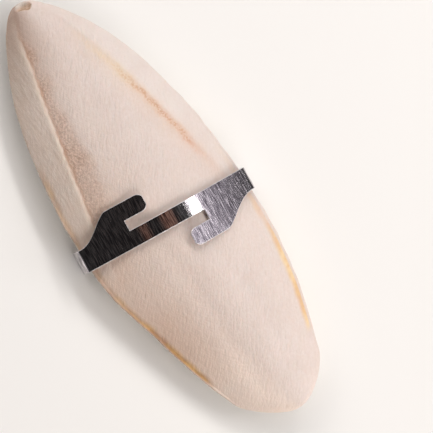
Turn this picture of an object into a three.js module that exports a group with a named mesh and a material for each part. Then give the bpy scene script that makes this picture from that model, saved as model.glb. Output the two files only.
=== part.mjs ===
// A cuttlebone held in a bent steel clip.
//
// The bone is the inner shell of a cuttlefish, grown in one piece: a long oval shield, domed on
// its hard upper side and bellied on its chalky under side, with a thin horny margin along its
// flanks and a small crater where the spine has broken off the narrow rear end.
// The clip is one stamped strip of stainless steel. It crosses the dome, turns down past both
// margins and ends in two tabs under the belly. A hook is cut in each side of it, for the wires
// of a cage.
//
// Millimetres, +Z up. The bone lies on its belly with its rear tip towards +Y and its blunt front
// end towards -Y. The origin is under the middle of the whole, on the surface it rests on.

import * as THREE from 'three';

// Driving dimensions of the bone.
const BONE_LENGTH = 130;
const HALF_WIDTH = 24.1;
const CROWN_HEIGHT = 6.8; // the dome above the margin
const RIM_HALF_THICKNESS = 0.5;
const GROOVE_SLOPE = 4.0; // width of the gentle side of a groove
const GROOVE_WALL = 0.9; // width of its steep outer side
const RIGHT_GROOVE = 0.45; // depth of the right groove as a share of the left one's
const RIGHT_SHIFT = 0.03; // how much further out it runs, as a share of the half width
const CREST_HEIGHT = 0.12;
const CREST_WIDTH = 0.7;
const FURROW_WIDTH = 2.8;
const SULCUS_WIDTH = 5.5;

// Profiles along the bone, as pairs of a station and a value. A station of the outline is an
// angle in degrees, 0 at the rear tip and 180 at the front end. The others are a share of the
// length from the rear tip.
const FULLNESS = [[0, 1.0], [10, 0.79], [19, 0.76], [24, 0.785], [34, 0.832], [48, 0.914], [65, 0.951],
  [84, 0.988], [100, 1.0], [118, 0.969], [130, 0.969], [142, 1.006], [150, 1.06], [156, 1.04],
  [165, 0.95], [180, 0.82]];
const CENTRE_LINE = [[0, -0.35], [0.05, -0.2], [0.12, 0.1], [0.3, 0], [0.5, 0], [0.56, 0.05],
  [0.63, 0.6], [0.7, 1.45], [0.8, 1.9], [0.9, 2.0], [0.95, 2.7], [1, 3.3]];
const RIM_HEIGHT = [[0, 3.4], [0.1, 5.0], [0.25, 6.6], [0.45, 7.6], [0.62, 7.7], [0.8, 7.0], [1, 5.6]];
const MARGIN_WIDTH = [[0, 0.3], [0.28, 0.35], [0.45, 0.7], [0.85, 0.7], [0.96, 0.35], [1, 0.3]];
const DOME_POWER = [[0, 2.4], [0.3, 2.2], [0.54, 1.8], [0.8, 2.1], [1, 2.2]];
const GROOVE_SHARE = [[0, 0.54], [0.05, 0.55], [0.13, 0.52], [0.2, 0.555], [0.3, 0.605], [0.4, 0.67],
  [0.5, 0.745], [0.6, 0.83], [0.66, 0.86], [1, 0.86]];
const GROOVE_DEPTH = [[0, 0], [0.04, 0.1], [0.14, 0.33], [0.35, 0.33], [0.48, 0.2], [0.62, 0], [1, 0]];
const FURROW_PLACE = [[0, 7.8], [0.8, 7.8], [0.9, 6.8], [1, 6]];
const FURROW_DEPTH = [[0, 0], [0.48, 0], [0.62, 0.24], [0.85, 0.26], [0.97, 0], [1, 0]];
const BELLY_DEPTH = [[0, 0], [0.05, -1.0], [0.11, -1.4], [0.2, 0.6], [0.35, 4.3], [0.47, 7.3],
  [0.56, 7.8], [0.7, 7.5], [0.84, 5.2], [0.95, 2.3], [1, 0]];
const SULCUS_DEPTH = [[0, 0], [0.14, 0], [0.24, 0.7], [0.38, 0.5], [0.47, 0], [1, 0]];

// The crater at the rear tip is a bite with a round bottom.
const CRATER_RADIUS = 3.6;
const CRATER_PLACE = 0.6; // its middle from the tip
const CRATER_FLOOR = 0.3; // its floor above the margin there

// Driving dimensions of the clip. X runs across the bone.
const CLIP_PLACE = 0.529; // share of the bone's length from the rear tip
const CLIP_SKEW = -4.7; // degrees about +Z, as it was pushed on by hand
const SHEET = 0.5; // thickness of the steel
const TOP_Z = 15.95; // mid sheet over the middle of the dome
const CORNER_X = 24.8; // where the flat wings meet the side walls
const CORNER_Z = 9.7;
const BOW_HALF = 9.7; // the strip is bowed within this, and flat outside it
const HEEL_X = 24.9; // where the side walls meet the tabs
const HEEL_Z = 1.05;
const TAB_END_X = 16.2;
const TAB_END_Z = 1.9;
const TAB_ROUND = 1.5;
const BEND_RADIUS = 0.9;
const BEND_STEPS = 5;
const HOOK_CENTRE = -0.9; // the two hooks sit off the middle
const STRIP_HALF = 2.3;
const SLOT_WIDTH = 2.8;
const SLOT_END = 9.9; // from the middle of the hooks
const TONGUE_WIDTH = 4.8;
const TONGUE_TIP = 3.1;
const TONGUE_ROUND = 1.7;
const SHOULDER = 13.3; // where a wing starts to narrow
const WING_END = 4.0; // the wing's outer edge at the corner

const RINGS = 58;
const END_ANGLE = 6; // the angle of the last ring before each end
const INNER_STEPS = 7;
const FLANK_STEPS = 4;
const UNDER_STEPS = 22;

const clamp01 = (x) => Math.min(1, Math.max(0, x));
const bell = (x) => Math.exp(-x * x);

// A smooth curve through stations that doesn't overshoot them.
function along(stations, x) {
  const rise = (k) => {
    const [from, to] = [stations[k], stations[k + 1]];
    return (to[1] - from[1]) / (to[0] - from[0]);
  };
  const tangent = (k) => {
    if (k === 0) return rise(0);
    if (k === stations.length - 1) return rise(k - 1);
    const [before, after] = [rise(k - 1), rise(k)];
    return before * after <= 0 ? 0 : (2 * before * after) / (before + after);
  };
  let i = 0;
  while (i < stations.length - 2 && x > stations[i + 1][0]) i += 1;
  const span = stations[i + 1][0] - stations[i][0];
  const s = clamp01((x - stations[i][0]) / span);
  return (1 + 2 * s) * (1 - s) ** 2 * stations[i][1]
    + s * (1 - s) ** 2 * span * tangent(i)
    + s ** 2 * (3 - 2 * s) * stations[i + 1][1]
    + s ** 2 * (s - 1) * span * tangent(i + 1);
}

const angleAt = (t) => Math.acos(1 - 2 * t);
const halfWidth = (t) => HALF_WIDTH * Math.sin(angleAt(t))
  * along(FULLNESS, THREE.MathUtils.radToDeg(angleAt(t)));
const rimHalf = (t) => RIM_HALF_THICKNESS * clamp01(4 * Math.sin(angleAt(t)));
const crown = (t) => CROWN_HEIGHT * Math.sin(angleAt(t)) ** 0.8;
const ledgeShare = (t) => 1 - Math.min(0.3, along(MARGIN_WIDTH, t) / halfWidth(t));
const crestShare = (t, side) => THREE.MathUtils.lerp(grooveShare(t, side), ledgeShare(t), 0.22);

// Share of the half width where the groove of a side runs.
function grooveShare(t, side) {
  const share = along(GROOVE_SHARE, t) + (side > 0 ? RIGHT_SHIFT : 0);
  return Math.min(share, 0.9 * ledgeShare(t));
}

// Height of the hard upper side at share t of the length and share u of the half width.
function upperHeight(t, u) {
  const across = Math.abs(u);
  const x = across * halfWidth(t);
  const dome = 1 - clamp01(across / ledgeShare(t)) ** along(DOME_POWER, t);
  const fromGroove = x - grooveShare(t, u) * halfWidth(t);
  const depth = along(GROOVE_DEPTH, t) * (u > 0 ? RIGHT_GROOVE : 1);
  const groove = depth * bell(fromGroove / (fromGroove < 0 ? GROOVE_SLOPE : GROOVE_WALL));
  const crest = CREST_HEIGHT * clamp01(3 * depth) * bell(fromGroove / CREST_WIDTH - 1.4);
  const furrow = along(FURROW_DEPTH, t) * bell((x - along(FURROW_PLACE, t)) / FURROW_WIDTH);
  const relief = (crest - groove - furrow) * clamp01(4 * dome);
  const whole = along(RIM_HEIGHT, t) + rimHalf(t) + crown(t) * dome + relief;
  return Math.min(whole, craterHeight(BONE_LENGTH * t, x));
}

// Height of the round bite at a place along and across the bone.
function craterHeight(fromTip, x) {
  const reach = Math.hypot(fromTip - CRATER_PLACE, x);
  if (reach > CRATER_RADIUS) return Infinity;
  const fall = Math.sqrt(CRATER_RADIUS ** 2 - reach ** 2);
  return along(RIM_HEIGHT, 0) + CRATER_FLOOR + CRATER_RADIUS - fall;
}

// Height of the chalky under side. The belly is flat where it rests.
function underHeight(t, u) {
  const body = 1 - clamp01(Math.abs(u) / (ledgeShare(t) - 0.01)) ** 2.6;
  const sulcus = along(SULCUS_DEPTH, t) * bell((u * halfWidth(t)) / SULCUS_WIDTH);
  return Math.max(0, along(RIM_HEIGHT, t) - rimHalf(t) - along(BELLY_DEPTH, t) * body + sulcus);
}

// Shares of the half width with a vertex on one side of the dome, so that the lines of the mesh
// run along its groove and crest.
function sideShares(t, side) {
  const shares = [];
  for (let i = 1; i <= INNER_STEPS; i += 1) shares.push((grooveShare(t, side) * i) / INNER_STEPS);
  for (let i = 0; i < FLANK_STEPS; i += 1) {
    shares.push(THREE.MathUtils.lerp(crestShare(t, side), ledgeShare(t), i / FLANK_STEPS));
  }
  return [...shares, ledgeShare(t), 1].map((share) => side * share);
}

const upperShares = (t) => [...sideShares(t, -1).reverse(), 0, ...sideShares(t, 1)];

function underShares() {
  const shares = [];
  for (let i = 0; i <= UNDER_STEPS; i += 1) {
    const s = i / UNDER_STEPS;
    shares.push((Math.cos(Math.PI * s) + 1 - 2 * s) / 2);
  }
  return shares;
}

function bonePoint(t, u, height) {
  return [along(CENTRE_LINE, t) + u * halfWidth(t), BONE_LENGTH * (0.5 - t), height];
}

function geometryFrom(vertices, faces) {
  const geometry = new THREE.BufferGeometry();
  geometry.setAttribute('position', new THREE.Float32BufferAttribute(vertices.flat(), 3));
  geometry.setIndex(faces.flat());
  geometry.computeVertexNormals();
  return geometry;
}

// A closed skin over rings with the same number of points, drawn together at each end.
function closedLoft(firstEnd, rings, lastEnd) {
  const count = rings[0].length;
  const vertices = [firstEnd, ...rings.flat(), lastEnd];
  const at = (ring, i) => 1 + ring * count + (i % count);
  const faces = [];
  for (let i = 0; i < count; i += 1) {
    faces.push([0, at(0, i), at(0, i + 1)]);
    for (let r = 0; r < rings.length - 1; r += 1) {
      faces.push([at(r, i), at(r + 1, i), at(r + 1, i + 1)]);
      faces.push([at(r, i), at(r + 1, i + 1), at(r, i + 1)]);
    }
    faces.push([at(rings.length - 1, i), vertices.length - 1, at(rings.length - 1, i + 1)]);
  }
  return geometryFrom(vertices, faces);
}

function shieldGeometry() {
  const rings = [];
  for (let r = 0; r < RINGS; r += 1) {
    const angle = THREE.MathUtils.lerp(END_ANGLE, 180 - END_ANGLE, r / (RINGS - 1));
    const t = (1 - Math.cos(THREE.MathUtils.degToRad(angle))) / 2;
    rings.push([
      ...upperShares(t).map((u) => bonePoint(t, u, upperHeight(t, u))),
      ...underShares().map((u) => bonePoint(t, u, underHeight(t, u))),
    ]);
  }
  const tip = bonePoint(0, 0, along(RIM_HEIGHT, 0));
  const front = bonePoint(1, 0, along(RIM_HEIGHT, 1));
  return closedLoft(tip, rings, front);
}

function boneMesh() {
  const chalk = new THREE.MeshStandardMaterial({ color: 0xe4d2c6, roughness: 0.75, metalness: 0 });
  const mesh = new THREE.Mesh(shieldGeometry(), chalk);
  mesh.name = 'cuttlebone';
  return mesh;
}

// The strip's bow over the dome, and the flat wings that carry on from it.
const BOW = (TOP_Z - CORNER_Z) / (2 * BOW_HALF * CORNER_X - BOW_HALF ** 2);
const frontSlope = (x) => -2 * BOW * THREE.MathUtils.clamp(x, -BOW_HALF, BOW_HALF);

function frontHeight(x) {
  const bowed = Math.min(Math.abs(x), BOW_HALF);
  return TOP_Z - BOW * bowed ** 2 - 2 * BOW * BOW_HALF * (Math.abs(x) - bowed);
}

// A station of the bent sheet is a point of its middle surface, seen along the bone, and the
// outward normal there.
function stationOn(x, z, slope) {
  const size = Math.hypot(1, slope);
  return { x, z, nx: -slope / size, nz: 1 / size };
}

const frontStation = (x) => stationOn(x, frontHeight(x), frontSlope(x));

// A tongue stays straight while the strip beside it bows away.
function tongueStation(x, root) {
  const slope = frontSlope(root);
  return stationOn(x, frontHeight(root) + slope * (x - root), slope);
}

// A round bend at the middle one of three points.
function bend(from, at, to) {
  const back = from.clone().sub(at).normalize();
  const ahead = to.clone().sub(at).normalize();
  const half = back.angleTo(ahead) / 2;
  const centre = back.clone().add(ahead).setLength(BEND_RADIUS / Math.sin(half)).add(at);
  const first = at.clone().addScaledVector(back, BEND_RADIUS / Math.tan(half)).sub(centre);
  const stations = [];
  for (let i = 0; i <= BEND_STEPS; i += 1) {
    const turn = ((2 * half - Math.PI) * i) / BEND_STEPS;
    const arm = first.clone().rotateAround(new THREE.Vector2(), turn);
    stations.push({
      x: centre.x + arm.x,
      z: centre.y + arm.y,
      nx: arm.x / BEND_RADIUS,
      nz: arm.y / BEND_RADIUS,
    });
  }
  return stations;
}

// Distances from the rounded end of a tongue or tab, and how far its edges draw in there.
function roundedSteps(radius) {
  return [0, 20, 40, 60, 90].map((degrees) => {
    const angle = THREE.MathUtils.degToRad(degrees);
    return [radius * (1 - Math.cos(angle)), radius * (1 - Math.sin(angle))];
  });
}

// Round the corner of the +X wing, down its side wall, round the heel and in along its tab. Each
// station comes with how far the edges of the sheet draw in there.
function sideStations() {
  const wing = new THREE.Vector2(BOW_HALF, frontHeight(BOW_HALF));
  const corner = new THREE.Vector2(CORNER_X, CORNER_Z);
  const heel = new THREE.Vector2(HEEL_X, HEEL_Z);
  const end = new THREE.Vector2(TAB_END_X, TAB_END_Z);
  const bends = [...bend(wing, corner, heel), ...bend(corner, heel, end)];
  const outward = heel.clone().sub(end).normalize();
  const { nx, nz } = bends[bends.length - 1];
  const tab = roundedSteps(TAB_ROUND).reverse().map(([distance, inset]) => {
    const { x, y } = end.clone().addScaledVector(outward, distance);
    return { x, z: y, nx, nz, inset };
  });
  return [...bends.map((station) => ({ ...station, inset: 0 })), ...tab];
}

function steps(from, to, size) {
  const count = Math.ceil((to - from) / size);
  return Array.from({ length: count + 1 }, (_, i) => THREE.MathUtils.lerp(from, to, i / count));
}

const TONGUE_INNER = STRIP_HALF + SLOT_WIDTH;
const TONGUE_OUTER = TONGUE_INNER + TONGUE_WIDTH;

// The four lines along a wing at a distance from the middle of the hooks. They start as the
// edges of the strip and of the tongue and even out.
function wingLines(distance, end) {
  const narrowing = (1 - clamp01((distance - SHOULDER) / (end - SHOULDER)) ** 1.5) ** 2.2;
  const outer = THREE.MathUtils.lerp(WING_END, TONGUE_OUTER, narrowing);
  const third = (outer + STRIP_HALF) / 3;
  const even = clamp01((distance - SLOT_END) / 4);
  return [
    -STRIP_HALF,
    THREE.MathUtils.lerp(STRIP_HALF, third - STRIP_HALF, even),
    THREE.MathUtils.lerp(TONGUE_INNER, 2 * third - STRIP_HALF, even),
    outer,
  ];
}

// One side of the sheet as three patches of rows: half the strip, the tongue of its hook, and
// the wing with the side wall and tab. The rows run outwards from the middle of the hooks. The
// hook lies towards +Y on the -X side and towards -Y on the +X side.
function sidePatches(side) {
  const place = (distance) => HOOK_CENTRE + side * distance;
  const row = (station, lines) => lines.map((y) => ({ ...station, y: -side * y }));
  const strip = steps(0, SLOT_END, 0.9)
    .map((d) => row(frontStation(place(d)), [-STRIP_HALF, STRIP_HALF]));

  const tongueSteps = [...roundedSteps(TONGUE_ROUND), [SLOT_END - TONGUE_TIP, 0]];
  const tongue = tongueSteps.map(([d, inset]) => row(
    tongueStation(place(TONGUE_TIP + d), place(SLOT_END)),
    [TONGUE_INNER + inset, TONGUE_OUTER - inset],
  ));

  const [corner, ...rest] = sideStations();
  const wingEnd = corner.x - side * HOOK_CENTRE;
  const wing = steps(SLOT_END, wingEnd, 1)
    .map((d) => row(frontStation(place(d)), wingLines(d, wingEnd)));
  const middle = (WING_END - STRIP_HALF) / 2;
  const half = (WING_END + STRIP_HALF) / 2;
  const wall = rest.map((station) => {
    const mirrored = { ...station, x: side * station.x, nx: side * station.nx };
    return row(mirrored, [-1, -1 / 3, 1 / 3, 1].map((s) => middle + s * (half - station.inset)));
  });
  return [strip, tongue, [...wing, ...wall]];
}

// Turns patches of a thin sheet's middle surface into a closed solid of its thickness.
function thickened(patches, thickness) {
  const places = new Map();
  const middle = [];
  const indexOf = (vertex) => {
    const key = [vertex.x, vertex.y, vertex.z].map((value) => value.toFixed(3)).join();
    if (!places.has(key)) places.set(key, middle.push(vertex) - 1);
    return places.get(key);
  };
  const quads = [];
  for (const rows of patches) {
    for (let i = 0; i < rows.length - 1; i += 1) {
      for (let j = 0; j < rows[i].length - 1; j += 1) {
        quads.push([rows[i][j], rows[i][j + 1], rows[i + 1][j + 1], rows[i + 1][j]].map(indexOf));
      }
    }
  }
  const lower = middle.length;
  const edges = new Map();
  const faces = [];
  for (const [a, b, c, d] of quads) {
    faces.push([a, b, c], [a, c, d]);
    faces.push([lower + a, lower + c, lower + b], [lower + a, lower + d, lower + c]);
    for (const [from, to] of [[a, b], [b, c], [c, d], [d, a]]) edges.set(`${from},${to}`, [from, to]);
  }
  for (const [from, to] of edges.values()) {
    if (!edges.has(`${to},${from}`)) {
      faces.push([to, from, lower + from], [to, lower + from, lower + to]);
    }
  }
  const offset = (by) => middle.map((v) => [v.x + by * v.nx, v.y, v.z + by * v.nz]);
  return geometryFrom([...offset(thickness / 2), ...offset(-thickness / 2)], faces);
}

function clipMesh() {
  const geometry = thickened([...sidePatches(-1), ...sidePatches(1)], SHEET);
  const steel = new THREE.MeshStandardMaterial({ color: 0xb9b7b8, roughness: 0.25, metalness: 1 });
  const mesh = new THREE.Mesh(geometry, steel);
  mesh.name = 'holder_clip';
  mesh.rotation.z = THREE.MathUtils.degToRad(CLIP_SKEW);
  mesh.position.y = BONE_LENGTH * (0.5 - CLIP_PLACE);
  return mesh;
}

const model = new THREE.Group();
model.add(boneMesh(), clipMesh());

// Puts the origin under the middle of the whole.
const box = new THREE.Box3().setFromObject(model, true);
const underMiddle = box.getCenter(new THREE.Vector3()).setZ(box.min.z);
for (const mesh of model.children) mesh.position.sub(underMiddle);

export default model;
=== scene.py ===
# A cuttlebone in a bent steel clip, lying on its belly on a pale floor.
#
# The bone's shape follows from the same profiles as its solid and is carried further here: a
# rounded horny margin, growth ridges, a fine hatch, a ragged broken tip and the folds of the under
# side. The clip is laid out flat as a sheet and bent, given its thickness and finished with eased
# edges. Shapes are worked out in millimetres and placed in metres.

import math

import bpy
import numpy as np
from mathutils import Matrix, Vector


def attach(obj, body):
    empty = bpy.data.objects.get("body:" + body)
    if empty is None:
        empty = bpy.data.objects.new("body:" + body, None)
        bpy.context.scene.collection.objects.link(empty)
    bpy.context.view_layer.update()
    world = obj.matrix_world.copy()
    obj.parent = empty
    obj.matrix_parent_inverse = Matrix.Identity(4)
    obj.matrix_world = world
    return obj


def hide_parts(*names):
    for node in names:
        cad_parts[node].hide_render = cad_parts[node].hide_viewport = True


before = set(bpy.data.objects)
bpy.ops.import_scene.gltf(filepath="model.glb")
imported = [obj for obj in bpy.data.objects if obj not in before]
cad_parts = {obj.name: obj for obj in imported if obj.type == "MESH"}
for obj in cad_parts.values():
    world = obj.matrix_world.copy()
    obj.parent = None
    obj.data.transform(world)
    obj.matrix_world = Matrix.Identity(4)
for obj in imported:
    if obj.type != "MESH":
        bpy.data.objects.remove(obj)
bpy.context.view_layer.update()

MM = 0.001

# The bone, in millimetres.
BONE_LENGTH = 130
HALF_WIDTH = 24.1
CROWN_HEIGHT = 6.8
RIM_HALF_THICKNESS = 0.5
RIM_ROUND = 0.6
GROOVE_SLOPE = 4.0
GROOVE_WALL = 0.9
RIGHT_GROOVE = 0.45
RIGHT_SHIFT = 0.03
CREST_HEIGHT = 0.12
CREST_WIDTH = 0.7
FURROW_WIDTH = 2.5
SULCUS_WIDTH = 5.5
GROWTH_BOW = 7.8  # how far the growth lines bow forward
RIDGE_SPACING = 3.1
RIDGE_HEIGHT = 0.008
HATCH_HEIGHT = 0.04
FOLD_SPACING = 2.4
FOLD_HEIGHT = 0.06
EDGE_WAVE = 0.006  # of the half width
BITE_CENTRE = (0.5, 66.9, 7.5)
BITE_REACH = (9.5, 5.0, 3.9)
BONE_SEGMENTS = 288
BONE_RINGS = 330

# The places on the bone: t is the share of its length from the rear tip, and u the share of its
# half width, -1 at the left margin and 1 at the right. The same in millimetres are s and x.

# Profiles along the bone, as pairs of a station and a value. A station of the outline is an
# angle in degrees, 0 at the rear tip and 180 at the front end. The others are a share of the
# length from the rear tip.
FULLNESS = [(0, 1.0), (10, 0.79), (19, 0.76), (24, 0.785), (34, 0.832), (48, 0.914), (65, 0.951),
            (84, 0.988), (100, 1.0), (118, 0.969), (130, 0.969), (142, 1.006), (150, 1.06),
            (156, 1.04), (165, 0.95), (180, 0.82)]
CENTRE_LINE = [(0, -0.35), (0.05, -0.2), (0.12, 0.1), (0.3, 0), (0.5, 0), (0.56, 0.05), (0.63, 0.6),
               (0.7, 1.45), (0.8, 1.9), (0.9, 2.0), (0.95, 2.7), (1, 3.3)]
RIM_HEIGHT = [(0, 3.4), (0.1, 5.0), (0.25, 6.6), (0.45, 7.6), (0.62, 7.7), (0.8, 7.0), (1, 5.6)]
MARGIN_WIDTH = [(0, 0.3), (0.28, 0.35), (0.45, 0.7), (0.85, 0.7), (0.96, 0.35), (1, 0.3)]
DOME_POWER = [(0, 2.4), (0.3, 2.2), (0.54, 1.8), (0.8, 2.1), (1, 2.2)]
GROOVE_SHARE = [(0, 0.54), (0.05, 0.55), (0.13, 0.52), (0.2, 0.555), (0.3, 0.605), (0.4, 0.67),
                (0.5, 0.745), (0.6, 0.83), (0.66, 0.86), (1, 0.86)]
GROOVE_DEPTH = [(0, 0), (0.04, 0.1), (0.14, 0.33), (0.35, 0.33), (0.48, 0.2), (0.62, 0), (1, 0)]
FURROW_PLACE = [(0, 5.6), (0.8, 5.6), (0.9, 5.2), (1, 5)]
FURROW_DEPTH = [(0, 0), (0.48, 0), (0.62, 0.2), (0.85, 0.27), (0.97, 0), (1, 0)]
LEFT_AMBER = [(0, 0), (0.28, 0), (0.34, 0.5), (0.56, 0.5), (0.66, 0.8), (0.72, 1), (0.84, 1),
              (0.875, 0), (1, 0)]
RIGHT_AMBER = [(0, 0), (0.42, 0), (0.56, 0.35), (0.66, 0.75), (0.72, 1), (0.86, 1), (0.885, 0), (1, 0)]
GRIT_REACH = [(0, 1.5), (0.1, 3.2), (0.24, 5.4), (0.4, 7.6), (1, 9)]
RIGHT_STAIN = [(0, 0), (0.08, 0), (0.13, 0.25), (0.2, 0.65), (0.28, 0.9), (0.4, 0.9), (0.48, 0.3),
               (0.6, 0), (1, 0)]
BELLY_DEPTH = [(0, 0), (0.05, -1.0), (0.11, -1.4), (0.2, 0.6), (0.35, 4.3), (0.47, 7.3),
               (0.56, 7.8), (0.7, 7.5), (0.84, 5.2), (0.95, 2.3), (1, 0)]
SULCUS_DEPTH = [(0, 0), (0.14, 0), (0.24, 0.7), (0.38, 0.5), (0.47, 0), (1, 0)]

# The clip, in millimetres. X runs across the bone.
CLIP_PLACE = 0.529  # of the bone's length from the rear tip
CLIP_SKEW = -4.7  # degrees
SHEET = 0.5
TOP_Z = 15.95
CORNER_X = 24.8
CORNER_Z = 9.7
BOW_HALF = 9.7
HEEL_X = 24.9
HEEL_Z = 1.05
TAB_END_X = 16.2
TAB_END_Z = 1.9
TAB_ROUND = 1.5
BEND_RADIUS = 0.9
HOOK_CENTRE = -0.9
STRIP_HALF = 2.3
SLOT_WIDTH = 2.8
SLOT_END = 9.9
TONGUE_WIDTH = 4.8
TONGUE_TIP = 3.1
TONGUE_ROUND = 2.0
SHOULDER = 13.3
WING_END = 4.0
EASING = 0.14
TONGUE_INNER = STRIP_HALF + SLOT_WIDTH
TONGUE_OUTER = TONGUE_INNER + TONGUE_WIDTH
BOW = (TOP_Z - CORNER_Z) / (2 * BOW_HALF * CORNER_X - BOW_HALF ** 2)
COLUMN_SPACING = 0.5
EVENED_OVER = 4.0  # past the slot, where the rows of the sheet even out
BEND_STEPS = 8
ROUND_STEPS = 5

# The camera looks down on the bone, a little from its left, with the tip to the upper left.
PHOTO_SIZE = 433  # pixels
MM_PER_PIXEL = 0.2622
BONE_IN_PHOTO = (158.5, 207.8)  # its middle, in pixels from the upper left
BONE_TURN = 34.1  # degrees, as the leans
VIEW_LEAN_LEFT = 12.0
VIEW_LEAN_REAR = 3.0
VIEW_DISTANCE = 650
AIM_HEIGHT = 9.0
SENSOR = 36.0

# The inputs of Blender's Map Range and colour Mix nodes, in the order in which they are given
# here: a value, its range, and what that becomes; a share, and the colours at none and all of it.
RANGE_INPUTS = ("Value", "From Min", "From Max", "To Min", "To Max")
MIX_INPUTS = (0, 6, 7)


def linear(hex_colour):
    """An sRGB hex colour as linear red, green, blue and alpha."""
    channels = [int(hex_colour[i:i + 2], 16) / 255 for i in (1, 3, 5)]
    return tuple(c / 12.92 if c <= 0.04045 else ((c + 0.055) / 1.055) ** 2.4 for c in channels) + (1.0,)


def add(tree, kind, inputs=None, **settings):
    """Adds a node with its settings. An input is a value, a socket, or a node that is linked by
    its first output in use."""
    made = tree.nodes.new(kind)
    for name, value in settings.items():
        setattr(made, name, value)
    for key, value in (inputs or {}).items():
        if isinstance(value, bpy.types.Node):
            value = next(socket for socket in value.outputs if socket.enabled)
        if isinstance(value, bpy.types.NodeSocket):
            tree.links.new(value, made.inputs[key])
        else:
            made.inputs[key].default_value = value
    return made


def bare_material(name):
    """A new material without nodes."""
    material = bpy.data.materials.new(name)
    material.use_nodes = True
    material.node_tree.nodes.clear()
    return material


def clamp01(x):
    return np.clip(x, 0, 1)


def bell(x):
    """1 at 0, falling smoothly away on both sides."""
    return np.exp(-x * x)


def along(stations, x):
    """A smooth curve through stations that doesn't overshoot them."""
    places, values = np.array(stations, dtype=float).T
    rise = np.diff(values) / np.diff(places)
    level = rise[:-1] * rise[1:] <= 0
    both = np.where(level, 1, rise[:-1] + rise[1:])
    inner = np.where(level, 0, 2 * rise[:-1] * rise[1:] / both)
    tangent = np.concatenate([rise[:1], inner, rise[-1:]])
    i = np.clip(np.searchsorted(places, x) - 1, 0, len(places) - 2)
    span = places[i + 1] - places[i]
    s = clamp01((x - places[i]) / span)
    return ((1 + 2 * s) * (1 - s) ** 2 * values[i] + s * (1 - s) ** 2 * span * tangent[i]
            + s ** 2 * (3 - 2 * s) * values[i + 1] + s ** 2 * (s - 1) * span * tangent[i + 1])


def sine_of_angle(t):
    """0 at both ends of the bone and 1 at its middle, along a half circle."""
    return 2 * np.sqrt(np.maximum(t * (1 - t), 0))


def half_width(t):
    angle = np.degrees(np.arccos(np.clip(1 - 2 * t, -1, 1)))
    return np.maximum(HALF_WIDTH * sine_of_angle(t) * along(FULLNESS, angle), 1e-4)


def rim_half(t):
    """Half the thickness of the margin, which runs out at both ends."""
    return RIM_HALF_THICKNESS * clamp01(4 * sine_of_angle(t))


def ledge_share(t):
    """Where the body ends and the thin margin begins, as a share of the half width."""
    return 1 - np.minimum(0.3, along(MARGIN_WIDTH, t) / half_width(t))


def groove_share(t, u):
    """Where the groove on each side lies, as a share of the half width."""
    share = along(GROOVE_SHARE, t) + np.where(u > 0, RIGHT_SHIFT, 0)
    return np.minimum(share, 0.9 * ledge_share(t))


def edge_rounding(t, u):
    """1 on the body of the margin, falling in a quarter circle to 0 at its very edge."""
    radius = np.minimum(RIM_ROUND, 0.4 * half_width(t))
    inset = (1 - np.abs(u)) * half_width(t)
    e = clamp01(1 - inset / radius)
    return np.sqrt(1 - e ** 2)


def upper_height(t, u):
    """The height of the hard upper side at a share of the length and of the half width."""
    across = np.abs(u)
    x = across * half_width(t)
    dome = 1 - clamp01(across / ledge_share(t)) ** along(DOME_POWER, t)
    from_groove = x - groove_share(t, u) * half_width(t)
    depth = along(GROOVE_DEPTH, t) * np.where(u > 0, RIGHT_GROOVE, 1)
    groove = depth * bell(from_groove / np.where(from_groove < 0, GROOVE_SLOPE, GROOVE_WALL))
    crest = CREST_HEIGHT * clamp01(3 * depth) * bell(from_groove / CREST_WIDTH - 1.4)
    furrow = along(FURROW_DEPTH, t) * bell((x - along(FURROW_PLACE, t)) / FURROW_WIDTH)
    relief = (crest - groove - furrow) * clamp01(4 * dome)
    crown = CROWN_HEIGHT * sine_of_angle(t) ** 0.8
    return along(RIM_HEIGHT, t) + rim_half(t) * edge_rounding(t, u) + crown * dome + relief


def under_height(t, u):
    """The height of the chalky under side. Its crown is worn flat where it rests."""
    body = 1 - clamp01(np.abs(u) / (ledge_share(t) - 0.01)) ** 2.6
    sulcus = along(SULCUS_DEPTH, t) * bell((u * half_width(t)) / SULCUS_WIDTH)
    height = (along(RIM_HEIGHT, t) - rim_half(t) * edge_rounding(t, u)
              - along(BELLY_DEPTH, t) * body + sulcus)
    return np.maximum(0, height)


def growth_line(s, x):
    """The length of the young bone, in millimetres, when this place was its front edge."""
    return (s + np.sqrt(s ** 2 + 4 * GROWTH_BOW * x ** 2)) / 2


def wander(x, y, size, seed):
    """A smooth irregular field, about -1 to 1, with swells of roughly this size."""
    total = 0
    for k in range(5):
        turn = 1.3 + 2.4 * k + seed
        wave = 2 * math.pi / size * (0.6 + 0.23 * k)
        total = total + np.sin(wave * (x * np.cos(turn) + y * np.sin(turn)) + 1.7 * seed * (k + 1))
    return total / 3


def deselect_all():
    for item in bpy.context.selected_objects:
        item.select_set(False)


def coordinates(mesh):
    flat = np.empty(len(mesh.vertices) * 3)
    mesh.vertices.foreach_get("co", flat)
    return flat.reshape(-1, 3)


def place_vertices(mesh, points):
    mesh.vertices.foreach_set("co", np.ascontiguousarray(points, dtype=float).ravel())
    mesh.update()


def merge_doubles():
    """Merges doubled points of the active object and turns its faces outwards."""
    bpy.ops.object.mode_set(mode="EDIT")
    bpy.ops.mesh.select_all(action="SELECT")
    bpy.ops.mesh.remove_doubles(threshold=1e-6)
    bpy.ops.mesh.normals_make_consistent(inside=False)
    bpy.ops.object.mode_set(mode="OBJECT")


def apply_modifier(obj, kind, **settings):
    modifier = obj.modifiers.new(kind.title(), kind)
    for name, value in settings.items():
        setattr(modifier, name, value)
    bpy.context.view_layer.objects.active = obj
    bpy.ops.object.modifier_apply(modifier=modifier.name)


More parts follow.
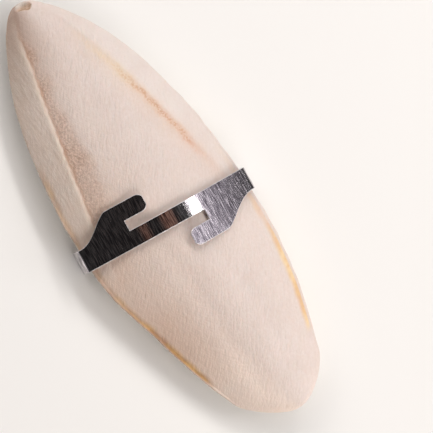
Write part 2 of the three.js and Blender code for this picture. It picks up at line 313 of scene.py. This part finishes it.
def shaped_bone():
    """A ball drawn out into the shield: its upper half becomes the dome, its lower the belly."""
    deselect_all()
    bpy.ops.mesh.primitive_uv_sphere_add(segments=BONE_SEGMENTS, ring_count=BONE_RINGS, radius=1)
    bone = bpy.context.object
    bone.name = bone.data.name = "cuttlebone_grown"
    ball = coordinates(bone.data)

    # Rings and segments are spaced midway between even steps of angle and even steps of place.
    lengthwise = np.arccos(np.clip(ball[:, 2], -1, 1))
    t = (1 - (np.cos(lengthwise) + 1 - 2 * lengthwise / math.pi) / 2) / 2
    t = np.where(lengthwise < 1e-4, 0, np.where(lengthwise > math.pi - 1e-4, 1, t))
    round_about = np.arctan2(ball[:, 1], ball[:, 0])
    turn = np.abs(round_about)
    u = (np.cos(turn) + 1 - 2 * turn / math.pi) / 2
    upper = round_about > -1e-6
    x = u * half_width(t)
    s = BONE_LENGTH * t

    ridges = np.sin(2 * math.pi * growth_line(s, x) / RIDGE_SPACING + 1.5 * wander(x, s, 14, 1))
    hatch = wander(0.35 * (x - s), x + s, 3.2, 6) * wander(x, s, 9, 8)
    swell = 0.06 * wander(x, s, 17, 2) + 0.03 * wander(x, s, 5, 3)
    swell = RIDGE_HEIGHT * ridges + swell + HATCH_HEIGHT * hatch
    calm = clamp01(6 * (1 - np.abs(u))) * clamp01(8 * sine_of_angle(t) - 1)
    top = upper_height(t, u) + swell * calm

    folds = np.sin(2 * math.pi * growth_line(s, 0.6 * x) / FOLD_SPACING)
    striated = clamp01((0.6 - t) * 12) * calm
    low = under_height(t, u)
    resting = clamp01(low / 0.4)
    low = low + (FOLD_HEIGHT * folds * striated + 0.05 * wander(x, s, 11, 4) * calm) * resting

    # The very edge of the margin is wavy.
    waves = wander(0, s, 9, 5 + np.sign(u)) * clamp01(12 * sine_of_angle(t) - 2)
    edge = 1 + EDGE_WAVE * waves
    points = np.column_stack([
        along(CENTRE_LINE, t) + x * edge,
        BONE_LENGTH * (0.5 - t),
        np.where(upper, top, low),
    ])
    place_vertices(bone.data, points * MM)
    merge_doubles()
    return bone


def break_the_tip(bone):
    """Bites the shallow socket of the lost spine out of the rear end."""
    deselect_all()
    bpy.ops.mesh.primitive_uv_sphere_add(segments=48, ring_count=32, radius=1)
    bite = bpy.context.object
    ball = coordinates(bite.data)
    forward = clamp01(-ball[:, 1])

    # The bite narrows towards the front, and its wall is ragged.
    ragged = 1 + 0.06 * wander(7 * ball[:, 0], 7 * ball[:, 1] + 3 * ball[:, 2], 6, 7)
    shaped = ball * np.column_stack([(1 - 0.6 * forward) * ragged, ragged, np.ones_like(ragged)])
    place_vertices(bite.data, (BITE_CENTRE + shaped * BITE_REACH) * MM)
    deselect_all()
    bone.select_set(True)
    apply_modifier(bone, "BOOLEAN", operation="DIFFERENCE", solver="EXACT", object=bite)
    bpy.data.objects.remove(bite, do_unlink=True)


def write_fields(bone):
    """Stores for each point where on the bone it lies, what has settled there and where shade
    and a highlight are painted, for the material to read, and returns the names of these fields."""
    points = coordinates(bone.data) / MM
    t = clamp01(0.5 - points[:, 1] / BONE_LENGTH)
    width = half_width(t)
    x = points[:, 0] - along(CENTRE_LINE, t)
    u = np.clip(x / width, -1, 1)
    s = BONE_LENGTH * t
    below_top = upper_height(t, u) - points[:, 2]
    above_belly = points[:, 2] - under_height(t, u)
    upper = below_top < above_belly
    left = upper & (u < 0)
    from_groove = np.abs(x) - groove_share(t, u) * width
    grooved = clamp01(3 * along(GROOVE_DEPTH, t)) * (0.75 + 0.25 * wander(x, s, 12, 9))

    # Grains fill the left groove, from the foot of its crest inwards. Their brown is partly painted
    # shade on the groove's slope, which faces away from the key light, and painted crease shade at the
    # foot of the crest.
    inward = 0.6 - from_groove + 0.25 * wander(x, s, 4, 10)
    grit_reach = along(GRIT_REACH, t) + 0.7 * wander(x, s, 8, 11)
    grit = grooved * clamp01(inward / 0.5) * clamp01((grit_reach - inward) / 2.6)
    seam = grooved * bell((inward - 0.45) / 0.5)
    # The crest beside the groove, along which a highlight is painted.
    crest = grooved * bell((from_groove - 1.1) / 0.8)

    # The stain in the right groove has a core and a fainter band inside it.
    stripe = bell((from_groove + 0.1 + 0.3 * wander(x, s, 6, 12)) / 1.35)
    stripe = along(RIGHT_STAIN, t) * clamp01(stripe + 0.18 * bell((from_groove + 2.6) / 2.2))

    # The horny amber band lies inside a pale rim and is wider on the right.
    inset = (1 - np.abs(u)) * width
    amber = np.where(u < 0, along(LEFT_AMBER, t), along(RIGHT_AMBER, t))
    amber_reach = np.where(u < 0, 1.9, 2.8) + 0.25 * wander(0, s, 7, 13)
    pale_rim = np.where(u < 0, 0.1, 0.7)
    horny = amber * clamp01((inset - pale_rim) / 0.3) * clamp01((amber_reach - inset) / 1.1)

    # The walls of the bite lie under what the surface was.
    buried = np.minimum(below_top, above_belly)
    fields = {
        "growth": growth_line(s, x),
        "suture": growth_line(s, 0.6 * x),
        "upper": upper.astype(float),
        "side": u,
        "from_tip": t,
        "grit": np.where(left, grit, 0),
        "seam": np.where(left, seam, 0),
        "crest": np.where(left, crest, 0),
        "stripe": np.where(upper & (u > 0), stripe, 0),
        "flank": np.where(upper, clamp01((from_groove - 0.3) / 1.0) * grooved, 0),
        "margin": horny,
        "broken": clamp01((buried - 0.16) / 0.12) * (s < 5),
    }
    for name, values in fields.items():
        layer = bone.data.attributes.new(name, "FLOAT", "POINT")
        layer.data.foreach_set("value", np.ascontiguousarray(values, dtype=np.float32))
    return list(fields)


# The looks of the bone. The shield is its upper side.

# Noise: its name, the width and length of its grains in millimetres, how far they lean from the
# bone's length in degrees, its detail and its roughness.
BONE_NOISE = [
    ("cloud", 26, 26, 0, 3, 0.5),
    ("patches", 7, 7, 0, 4, 0.6),
    ("sand", 0.75, 0.75, 0, 3, 0.65),
    ("grains", 0.6, 0.6, 0, 2, 0.6),
    ("crumbs", 1.6, 1.6, 0, 3, 0.5),
    ("scores", 0.6, 2.4, 38, 3, 0.6),
    ("fibres", 0.5, 4.5, 4, 3, 0.6),
]

# Lines of growth: their name, the field they follow, their spacing in millimetres, and how far
# the patches break them up.
BONE_LINES = [
    ("lines", "growth", 1.1, 14.0),
    ("sutures", "suture", 1.0, 2.5),
]

# How strongly a thing shows: its name, what it depends on, the two values between which it
# changes, and its strength at each of them, which can be one of the rows above it.
BONE_STRENGTHS = [
    ("speckle", "grains", 0.36, 0.64, 0, 1),
    # How far the warm painted shade of the left side gives way to the cool right side.
    ("painted_side_shade", "side", -0.9, 0.2, 0, 1),
    ("clouded", "cloud", 0.35, 0.65, 0, 0.5),
    ("patched", "patches", 0.35, 0.7, 0, 0.4),
    ("scored", "scores", 0.35, 0.65, 0, 0.14),
    ("sandy", "sand", 0.35, 0.65, 0, 0.25),
    ("lined", "lines", 0, 1, 0, 0.03),
    # Where shade is painted on the left side past the middle and near the tip, and light at its front.
    ("short_of_front", "from_tip", 0.9, 0.76, 0, 0.5),
    ("past_middle", "from_tip", 0.55, 0.68, 0, "short_of_front"),
    ("painted_left_shade", "side", -0.4, -0.85, 0, "past_middle"),
    ("near_tip", "from_tip", 0.2, 0.02, 0, 0.7),
    ("painted_tip_shade", "side", 0.1, -0.5, 0, "near_tip"),
    ("near_front", "from_tip", 0.78, 0.88, 0, 0.5),
    ("paler", "side", -0.1, -0.45, 0, "near_front"),
    ("fibrous", "fibres", 0.35, 0.65, 0, 1),
    ("flanked", "flank", 0, 1, 0, 0.55),
    # A highlight is painted along the left crest.
    ("painted_crest_highlight", "crest", 0, 1, 0, 0.5),
    # Shade is painted with the grains and in the seam at the crest's foot.
    ("grit_and_painted_shade", "grit", 0, 1, 0, 0.6),
    ("seam_speckle", "speckle", 0, 1, 0.35, 0.6),
    ("seam_and_painted_shade", "seam", 0, 1, 0, "seam_speckle"),
    ("warmer", "from_tip", 0.22, 0.33, 0, 1),
    ("yellowed", "patches", 0.4, 0.65, 0, 0.5),
    ("stain_speckle", "speckle", 0, 1, 0.85, 0.5),
    ("stained", "stripe", 0, 1, 0, "stain_speckle"),
    ("core_speckle", "speckle", 0.2, 0.8, 0.4, 0),
    ("cored", "stripe", 0.6, 0.9, 0, "core_speckle"),
    ("sutured", "sutures", 0, 1, 0, 0.22),
    ("amber_patches", "patches", 0.4, 0.6, 0, 1),
    ("horn_patches", "patches", 0.3, 0.5, 0.45, 1),
    ("horn", "margin", 0, 1, 0, "horn_patches"),
    ("horn_colour", "horn", 0, 1, 0, 0.9),
    ("crumbled", "crumbs", 0.3, 0.6, 0, 1),
    ("lip", "from_tip", 0.013, 0.004, 0, 1),
    ("score_depth", "upper", 0, 1, 0, 0.22),
    ("line_depth", "upper", 0, 1, 0, 0.008),
    ("shield_fibres", "upper", 0, 1, 0, 0.11),
    ("fibre_depth", "flank", 0, 1, 0, "shield_fibres"),
    ("suture_depth", "upper", 0, 1, 0.09, 0),
    ("grit_depth", "grit", 0, 1, 0, 0.075),
    ("gloss", "horn", 0, 1, 0.72, 0.38),
]

# Colours, each blended by a strength from the one below it to the one above it. Both of these
# are a hex value or the name of an earlier row.
BONE_COLOURS = [
    # Painted shade makes the left side, away from the key light, more brown and the right one cool.
    # Over this lie clouds, scores, sand and faint lines.
    ("cream", "painted_side_shade", "#dfc7b6", "#e1d2cc"),
    ("cream", "clouded", "cream", "#e8dcd7"),
    ("cream", "patched", "cream", "#d8c8c0"),
    ("cream", "scored", "cream", "#d0bbae"),
    ("cream", "sandy", "cream", "#cfbaad"),
    ("cream", "lined", "cream", "#c9b2a4"),
    # Painted shade makes the left side more brown again past the middle and dark towards the tip, and
    # painted light makes it paler at the front.
    ("cream", "painted_left_shade", "cream", "#d2b09a"),
    ("cream", "painted_tip_shade", "cream", "#9c7f70"),
    ("cream", "paler", "cream", "#f3e0d3"),
    # Outside the grooves the left flank is greyer, with pale and dark fibres.
    ("fibre", "fibrous", "#c0ae9f", "#dacfc5"),
    ("flank", "right", "fibre", "#e6ddd8"),
    ("shield", "flanked", "cream", "flank"),
    # A highlight is painted along the left crest, where the key light catches it.
    ("shield", "painted_crest_highlight", "shield", "#efe0d0"),
    # Sand and stain have settled inside the left crest, and a tawny stain in the right groove. The
    # brown inside the left crest is partly painted shade, on the groove's slope and in the crease at
    # its foot.
    ("grit", "speckle", "#a07659", "#dcb9a4"),
    ("shield", "grit_and_painted_shade", "shield", "grit"),
    ("seam", "patches", "#8c5c3a", "#bd8a66"),
    ("shield", "seam_and_painted_shade", "shield", "seam"),
    ("stain", "warmer", "#e6cba2", "#dcad8e"),
    ("stain", "yellowed", "stain", "#e6c49a"),
    ("shield", "stained", "shield", "stain"),
    ("shield", "cored", "shield", "#b98468"),
    # The under side is whiter, with its sutures drawn in.
    ("belly", "sutured", "#f0eae0", "#cdbfae"),
    ("bone", "upper", "belly", "shield"),
    # The horny margin is amber, darker on the left.
    ("left_amber", "amber_patches", "#a06a3a", "#d0a468"),
    ("right_amber", "amber_patches", "#dcaa70", "#edd0a2"),
    ("amber", "right", "left_amber", "right_amber"),
    ("bone", "horn_colour", "bone", "amber"),
    # The broken face is dark where the socket of the spine was and pale above it.
    ("raw", "crumbled", "#8f765a", "#c9ab97"),
    ("raw", "lip", "raw", "#d9cfc6"),
    ("bone", "broken", "bone", "raw"),
]

# Relief: what stands out, and its height in millimetres or the strength that gives it.
BONE_RELIEF = [
    ("scores", "score_depth"),
    ("lines", "line_depth"),
    ("fibres", "fibre_depth"),
    ("sutures", "suture_depth"),
    ("sand", 0.10),
    ("speckle", "grit_depth"),
]


def grown_aragonite(field_names):
    """Cuttlebone: thin layers of chalky aragonite laid down by the living animal, dried and
    rubbed clean. It is matt and slightly translucent, cream with a pink cast, with faint growth
    lines, sandy grains in the grooves and a horny amber margin of chitin. The grain and the
    scores are drawn coarser than the real ones, so that they show. Shade is painted into the
    colour on the left side, near the tip and in the left groove with its grains, light at the
    front of the left side, and a highlight along the left crest."""
    material = bare_material("aragonite_bone_dried")
    tree = material.node_tree
    place = add(tree, "ShaderNodeTexCoord").outputs["Object"]
    made = {}
    for name in field_names:
        made[name] = add(tree, "ShaderNodeAttribute", attribute_name=name).outputs["Fac"]
    made["right"] = add(tree, "ShaderNodeMath", {0: made["side"], 1: 0.0}, operation="GREATER_THAN")
    for name, width, length, lean, detail, roughness in BONE_NOISE:
        space = add(tree, "ShaderNodeMapping", {
            "Vector": place,
            "Rotation": (0, 0, -math.radians(lean)),
            "Scale": (width * MM, length * MM, length * MM),
        }, vector_type="TEXTURE")
        made[name] = add(tree, "ShaderNodeTexNoise", {
            "Vector": space,
            "Scale": 1.0,
            "Detail": detail,
            "Roughness": roughness,
        })
    for name, source, spacing, breaking in BONE_LINES:
        breaks = add(tree, "ShaderNodeMath", {0: made["patches"], 1: breaking}, operation="MULTIPLY")
        phase = {0: made[source], 1: 2 * math.pi / spacing, 2: breaks}
        phase = add(tree, "ShaderNodeMath", phase, operation="MULTIPLY_ADD")
        wave = add(tree, "ShaderNodeMath", {0: phase}, operation="SINE")
        made[name] = add(tree, "ShaderNodeMapRange", dict(zip(RANGE_INPUTS, (wave, -1, 1))))
    for name, source, low, high, start, end in BONE_STRENGTHS:
        inputs = dict(zip(RANGE_INPUTS, (made[source], low, high, start, made.get(end, end))))
        made[name] = add(tree, "ShaderNodeMapRange", inputs)

    colours = {}
    for name, strength, below, above in BONE_COLOURS:
        below = colours.get(below) or linear(below)
        above = colours.get(above) or linear(above)
        inputs = dict(zip(MIX_INPUTS, (made[strength], below, above)))
        colours[name] = add(tree, "ShaderNodeMix", inputs, data_type="RGBA")

    height = 0.0
    for source, depth in BONE_RELIEF:
        inputs = {0: made[source], 1: made.get(depth, depth), 2: height}
        height = add(tree, "ShaderNodeMath", inputs, operation="MULTIPLY_ADD")
    bump = add(tree, "ShaderNodeBump", {"Height": height, "Strength": 0.9, "Distance": MM})
    shader = add(tree, "ShaderNodeBsdfPrincipled", {
        "Base Color": colours["bone"],
        "Roughness": made["gloss"],
        "Normal": bump,
        "IOR": 1.53,
        "Specular IOR Level": 0.35,
        "Subsurface Weight": 0.12,
        "Subsurface Radius": (1.0, 0.45, 0.3),
        "Subsurface Scale": 1.2 * MM,
    })
    add(tree, "ShaderNodeOutputMaterial", {"Surface": shader})
    return material


def build_bone():
    bone = shaped_bone()
    break_the_tip(bone)
    field_names = write_fields(bone)
    deselect_all()
    bone.select_set(True)
    bpy.context.view_layer.objects.active = bone
    bpy.ops.object.shade_smooth_by_angle(angle=math.radians(50))
    bone.data.materials.clear()
    bone.data.materials.append(grown_aragonite(field_names))
    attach(bone, "root")
    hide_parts("cuttlebone")


def front_slope(x):
    """The slope of the strip's front: bowed over the middle, and straight from there outwards."""
    return -2 * BOW * max(-BOW_HALF, min(BOW_HALF, x))


def front_height(x):
    bowed = min(abs(x), BOW_HALF)
    return TOP_Z - BOW * bowed ** 2 - 2 * BOW * BOW_HALF * (abs(x) - bowed)


def tongue_height(x, root):
    """A tongue lies in the plane of its wing, from its root inwards."""
    return front_height(root) + front_slope(math.copysign(BOW_HALF, root)) * (x - root)


def bend(start, corner, end):
    """Points of a round bend at the middle one of three points, seen along the bone."""
    start, corner, end = Vector(start), Vector(corner), Vector(end)
    back = (start - corner).normalized()
    ahead = (end - corner).normalized()
    half = back.angle(ahead) / 2
    centre = corner + (back + ahead).normalized() * (BEND_RADIUS / math.sin(half))
    first = corner + back * (BEND_RADIUS / math.tan(half)) - centre
    turn = 2 * half - math.pi
    steps = [turn * i / BEND_STEPS for i in range(BEND_STEPS + 1)]
    return [centre + Matrix.Rotation(step, 2) @ first for step in steps]


def rounded_steps(radius):
    """Distances from a rounded end, and how far the edges draw in there. The steps begin with a
    short flat, so that none is narrower than the easing of the edges."""
    first = math.radians(20)
    angles = [first + (math.pi / 2 - first) * i / ROUND_STEPS for i in range(ROUND_STEPS + 1)]
    return [(radius * (math.cos(first) - math.cos(a)), radius * (1 - math.sin(a))) for a in angles]


def wing_outline(distance, end):
    """How wide the wing is at a distance from the middle of the hooks."""
    share = min(1, max(0, (distance - SHOULDER) / (end - SHOULDER)))
    return WING_END + (TONGUE_OUTER - WING_END) * (1 - share ** 1.5) ** 2.2


def sheet_columns(side):
    """The columns of one half of the sheet, from the middle of the hooks outwards. Each has the
    place of its strip and of its tongue, seen along the bone, and the lines of its edges. The
    other two values are the column of the tongue's tip and the one at the end of the slot."""
    bowed = (BOW_HALF, front_height(BOW_HALF))
    corner = (CORNER_X, CORNER_Z)
    heel = (HEEL_X, HEEL_Z)
    tab_end = (TAB_END_X, TAB_END_Z)
    corner_bend = bend(bowed, corner, heel)
    heel_bend = bend(corner, heel, tab_end)
    wing_end = corner_bend[0].x - side * HOOK_CENTRE
    root = HOOK_CENTRE + side * SLOT_END
    ends = rounded_steps(TONGUE_ROUND)
    distances = [i * TONGUE_TIP / 6 for i in range(6)]
    distances += [TONGUE_TIP + d for d, _ in ends]
    straight = SLOT_END - distances[-1]
    distances += [distances[-1] + straight * (i + 1) / 10 for i in range(10)]
    open_columns = len(distances) - 1
    rest = wing_end - SLOT_END
    count = round(rest / COLUMN_SPACING)
    distances += [SLOT_END + rest * (i + 1) / count for i in range(count)]
    columns = []
    for d in distances:
        x = HOOK_CENTRE + side * d
        inset = 0
        for reach, inward in ends:
            if abs(d - TONGUE_TIP - reach) < 1e-6:
                inset = inward
        outer = wing_outline(d, wing_end)
        third = (outer + STRIP_HALF) / 3
        even = min(1, max(0, (d - SLOT_END) / EVENED_OVER))
        columns.append({
            "strip": (x, front_height(x)),
            "tongue": (x, tongue_height(x, root)) if d < SLOT_END else (x, front_height(x)),
            "lines": [
                -STRIP_HALF,
                STRIP_HALF + even * (third - 2 * STRIP_HALF),
                TONGUE_INNER + inset + even * (2 * third - STRIP_HALF - TONGUE_INNER),
                outer - inset,
            ],
        })
    middle = (WING_END - STRIP_HALF) / 2
    half = (WING_END + STRIP_HALF) / 2
    outward = (Vector(heel) - Vector(tab_end)).normalized()
    tab = [(Vector(tab_end) + outward * d, inset) for d, inset in reversed(rounded_steps(TAB_ROUND))]
    bends = [(point, 0) for point in corner_bend[1:] + heel_bend]
    for point, inset in bends + tab:
        at = (side * point.x, point.y)
        columns.append({
            "strip": at,
            "tongue": at,
            "lines": [middle + share * (half - inset) for share in (-1, -1 / 3, 1 / 3, 1)],
        })
    tip_column = next(i for i, d in enumerate(distances) if abs(d - TONGUE_TIP) < 1e-6)
    return columns, tip_column, open_columns


def half_sheet(side):
    """One half of the strip with its hook, as a flat grid bent into place."""
    columns, tip_column, open_columns = sheet_columns(side)
    bands = (4, 3, 4)  # rows of faces in the strip, the slot and the tongue
    rows = sum(bands)
    deselect_all()
    bpy.ops.mesh.primitive_grid_add(x_subdivisions=len(columns) - 1, y_subdivisions=rows, size=1)
    half = bpy.context.object
    flat = coordinates(half.data)
    column_of = np.rint((flat[:, 0] + 0.5) * (len(columns) - 1)).astype(int)
    row_of = np.rint((flat[:, 1] + 0.5) * rows).astype(int)
    starts = (0, bands[0], bands[0] + bands[1])
    points = []
    for column, row in zip(column_of, row_of):
        band = 0 if row <= bands[0] else 1 if row < starts[2] else 2
        share = (row - starts[band]) / bands[band]
        lines = columns[column]["lines"]
        line = lines[band] + share * (lines[band + 1] - lines[band])
        x, z = columns[column]["tongue" if row >= starts[2] else "strip"]
        points.append((x, -side * line, z))

    # The slot and the open space past the tongue's tip are cut away.
    bpy.ops.object.mode_set(mode="EDIT")
    bpy.ops.mesh.select_all(action="DESELECT")
    bpy.ops.object.mode_set(mode="OBJECT")
    for face in half.data.polygons:
        corners = [(column_of[v], row_of[v]) for v in face.vertices]
        column = min(c for c, _ in corners)
        row = min(r for _, r in corners)
        in_slot = starts[1] <= row < starts[2] and column < open_columns
        past_tip = row >= starts[2] and column < tip_column
        face.select = in_slot or past_tip
    place_vertices(half.data, np.array(points) * MM)
    bpy.ops.object.mode_set(mode="EDIT")
    bpy.ops.mesh.select_mode(type="FACE")
    bpy.ops.mesh.delete(type="FACE")
    bpy.ops.object.mode_set(mode="OBJECT")
    return half


# The noise of the brushing: its name, its width and length in millimetres, and its detail. The
# real strokes are finer, and drawn this coarse they show.
BRUSHING = [
    ("strokes", 0.24, 3, 3),
    ("bands", 1.6, 14, 2),
]


def brushed_stainless():
    """Stainless strip, cold rolled and brushed across its length with a fine belt. The strokes
    spread the lamps' reflections along the strip, and a few dust grains sit on it."""
    material = bare_material("stainless_strip_brushed")
    tree = material.node_tree
    place = add(tree, "ShaderNodeTexCoord").outputs["Object"]
    made = {}
    for name, width, length, detail in BRUSHING:
        space = add(tree, "ShaderNodeMapping", {
            "Vector": place,
            "Rotation": (0, 0, math.radians(CLIP_SKEW)),
            "Scale": (width * MM, length * MM, length * MM),
        }, vector_type="TEXTURE")
        made[name] = add(tree, "ShaderNodeTexNoise", {"Vector": space, "Scale": 1.0, "Detail": detail})
    strokes = made["strokes"]
    height = {0: strokes, 1: 3.0, 2: made["bands"]}
    height = add(tree, "ShaderNodeMath", height, operation="MULTIPLY_ADD")
    bump = add(tree, "ShaderNodeBump", {"Height": height, "Strength": 0.2, "Distance": 0.009 * MM})
    streaks = dict(zip(RANGE_INPUTS, (strokes, 0.35, 0.65)))
    streaks = add(tree, "ShaderNodeMapRange", streaks)
    gloss = dict(zip(RANGE_INPUTS, (strokes, 0.3, 0.7, 0.10, 0.16)))
    gloss = add(tree, "ShaderNodeMapRange", gloss)
    tone = dict(zip(MIX_INPUTS, (streaks, linear("#857f86"), linear("#f8f3f6"))))
    tone = add(tree, "ShaderNodeMix", tone, data_type="RGBA")

    # Dust grains, one in each cell about 1.5 mm wide.
    dust = add(tree, "ShaderNodeTexVoronoi", {"Vector": place, "Scale": 1 / (1.5 * MM)})
    dust = add(tree, "ShaderNodeMapRange", dict(zip(RANGE_INPUTS, (dust, 0.09, 0.05))))
    dusty = dict(zip(MIX_INPUTS, (dust, tone, linear("#efe7e2"))))
    dusty = add(tree, "ShaderNodeMix", dusty, data_type="RGBA")
    shader = add(tree, "ShaderNodeBsdfPrincipled", {
        "Base Color": dusty,
        "Metallic": 1.0,
        "Roughness": gloss,
        "Normal": bump,
    })
    add(tree, "ShaderNodeOutputMaterial", {"Surface": shader})
    return material


def tumbled_edge():
    """The cut edges of the stainless strip, tumbled with stones to take off the burr, which leaves
    them rounded, satin and a little paler than the brushed faces."""
    material = bare_material("stainless_edge_tumbled")
    tree = material.node_tree
    place = add(tree, "ShaderNodeTexCoord").outputs["Object"]

    # Dents of about 0.5 mm. The real ones are finer, and drawn this coarse they show.
    dents = {"Vector": place, "Scale": 1 / (0.5 * MM), "Detail": 2.0}
    dents = add(tree, "ShaderNodeTexNoise", dents)
    tone = dict(zip(MIX_INPUTS, (dents, linear("#bdb8ba"), linear("#f6f2f4"))))
    tone = add(tree, "ShaderNodeMix", tone, data_type="RGBA")
    gloss = dict(zip(RANGE_INPUTS, (dents, 0.3, 0.7, 0.34, 0.46)))
    gloss = add(tree, "ShaderNodeMapRange", gloss)
    shader = add(tree, "ShaderNodeBsdfPrincipled", {
        "Base Color": tone,
        "Metallic": 1.0,
        "Roughness": gloss,
    })
    add(tree, "ShaderNodeOutputMaterial", {"Surface": shader})
    return material


def build_clip():
    halves = [half_sheet(side) for side in (-1, 1)]
    deselect_all()
    for half in halves:
        half.select_set(True)
    bpy.context.view_layer.objects.active = halves[0]
    bpy.ops.object.join()
    clip = bpy.context.object
    clip.name = clip.data.name = "clip_bent_strip"
    merge_doubles()

    # The open sheet may have come out facing down.
    up = sum(face.normal.z * face.area for face in clip.data.polygons if face.center.z > CORNER_Z * MM)
    if up < 0:
        clip.data.flip_normals()
    apply_modifier(clip, "SOLIDIFY", thickness=SHEET * MM, offset=0, use_even_offset=True)
    bpy.ops.object.shade_smooth()
    clip.data.materials.append(brushed_stainless())
    clip.data.materials.append(tumbled_edge())
    apply_modifier(clip, "BEVEL", width=EASING * MM, segments=3, limit_method="ANGLE",
                   angle_limit=math.radians(50), use_clamp_overlap=False, harden_normals=True,
                   material=1)
    turn = Matrix.Rotation(math.radians(CLIP_SKEW), 4, "Z")
    shift = Matrix.Translation((0, BONE_LENGTH * (0.5 - CLIP_PLACE) * MM, 0))
    clip.data.transform(shift @ turn)
    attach(clip, "root")
    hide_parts("holder_clip")


def painted_floor():
    """Smooth board painted matt white, for the stage. It shows only soft shade."""
    material = bare_material("board_painted_matt")
    tree = material.node_tree
    paint = {"Base Color": linear("#f4f2f0"), "Roughness": 0.8}
    shader = add(tree, "ShaderNodeBsdfPrincipled", paint)
    add(tree, "ShaderNodeOutputMaterial", {"Surface": shader})
    return material


def build_stage():
    deselect_all()
    bpy.ops.mesh.primitive_plane_add(size=4, location=(0, 0, 0))
    floor = bpy.context.object
    floor.name = "floor"
    floor.data.materials.append(painted_floor())


# Soft lamps: their name, how far they lean from overhead in degrees, across to the bone's right
# side and along to its tip, their distance and size in metres, their power and their colour.
LAMPS = [
    # The key light comes from the right, in three parts. The clip mirrors only the first of them
    # to the camera.
    ("key_right", 37.0, -4, 1.0, (1.0, 0.16), 3.0, "#fffdfb"),
    ("key_right_front", 53, -47, 1.1, (0.6, 0.35), 2.1, "#fffdfb"),
    ("key_right_rear", 36, 38, 1.1, (0.6, 0.3), 2.8, "#fffdfb"),
    # Two fill lamps soften the shade at both ends.
    ("fill_front", 0, -58, 1.1, (0.9, 0.5), 8.0, "#fffaf6"),
    ("fill_rear", 0, 58, 1.1, (0.9, 0.5), 5.4, "#fffaf6"),
    # Dim ones give the steel what it mirrors: grey in the right wing and two brown bands.
    ("dim_right", 43.5, 0, 0.4, (0.2, 0.05), 0.023, "#dfd6e4"),
    ("dim_above", 8, 0, 1.3, (0.5, 0.30), 0.15, "#c08a72"),
    ("dim_left", -16.8, 0, 1.3, (0.5, 0.14), 0.06, "#c08a72"),
]


def build_lamps():
    for name, across, along_bone, distance, size, power, colour in LAMPS:
        data = bpy.data.lights.new(name, "AREA")
        data.shape = "RECTANGLE"
        data.size, data.size_y = size
        data.energy = power
        data.color = linear(colour)[:3]
        lamp = bpy.data.objects.new(name, data)
        bpy.context.collection.objects.link(lamp)
        lean = (math.tan(math.radians(across)), math.tan(math.radians(along_bone)), 1)
        way = Vector(lean).normalized()
        lamp.location = way * distance
        lamp.rotation_euler = way.to_track_quat("Z", "Y").to_euler()


def build_world():
    """Pale walls under a dark ceiling, so that the edges of the steel catch the light."""
    world = bpy.data.worlds.new("studio")
    bpy.context.scene.world = world
    world.use_nodes = True
    tree = world.node_tree
    way = add(tree, "ShaderNodeTexCoord").outputs["Generated"]
    upward = add(tree, "ShaderNodeSeparateXYZ", {0: way}).outputs["Z"]
    pale = dict(zip(RANGE_INPUTS, (upward, 0.15, 0.5, 0.3, 0.03)))
    pale = add(tree, "ShaderNodeMapRange", pale)
    background = tree.nodes["Background"]
    background.inputs["Color"].default_value = linear("#eeeae8")
    tree.links.new(pale.outputs[0], background.inputs["Strength"])


def build_camera():
    lean = Vector((-math.tan(math.radians(VIEW_LEAN_LEFT)), math.tan(math.radians(VIEW_LEAN_REAR)), 1))
    back = lean.normalized()
    roll = math.radians(BONE_TURN)
    picture_up = Vector((math.sin(roll), math.cos(roll), 0))
    right = picture_up.cross(back).normalized()
    up = back.cross(right)
    offset_right = (PHOTO_SIZE / 2 - BONE_IN_PHOTO[0]) * MM_PER_PIXEL
    offset_down = (PHOTO_SIZE / 2 - BONE_IN_PHOTO[1]) * MM_PER_PIXEL
    target = Vector((0, 0, AIM_HEIGHT)) + right * offset_right - up * offset_down
    data = bpy.data.cameras.new("camera")
    data.sensor_width = SENSOR
    data.lens = SENSOR * VIEW_DISTANCE / (PHOTO_SIZE * MM_PER_PIXEL)
    camera = bpy.data.objects.new("camera", data)
    bpy.context.collection.objects.link(camera)
    camera.matrix_world = Matrix.Translation((target + back * VIEW_DISTANCE) * MM) @ Matrix(
        (right, up, back)).transposed().to_4x4()
    bpy.context.scene.camera = camera


build_bone()
build_clip()
build_stage()
build_lamps()
build_world()
build_camera()
bpy.context.scene.view_settings.view_transform = "Standard"
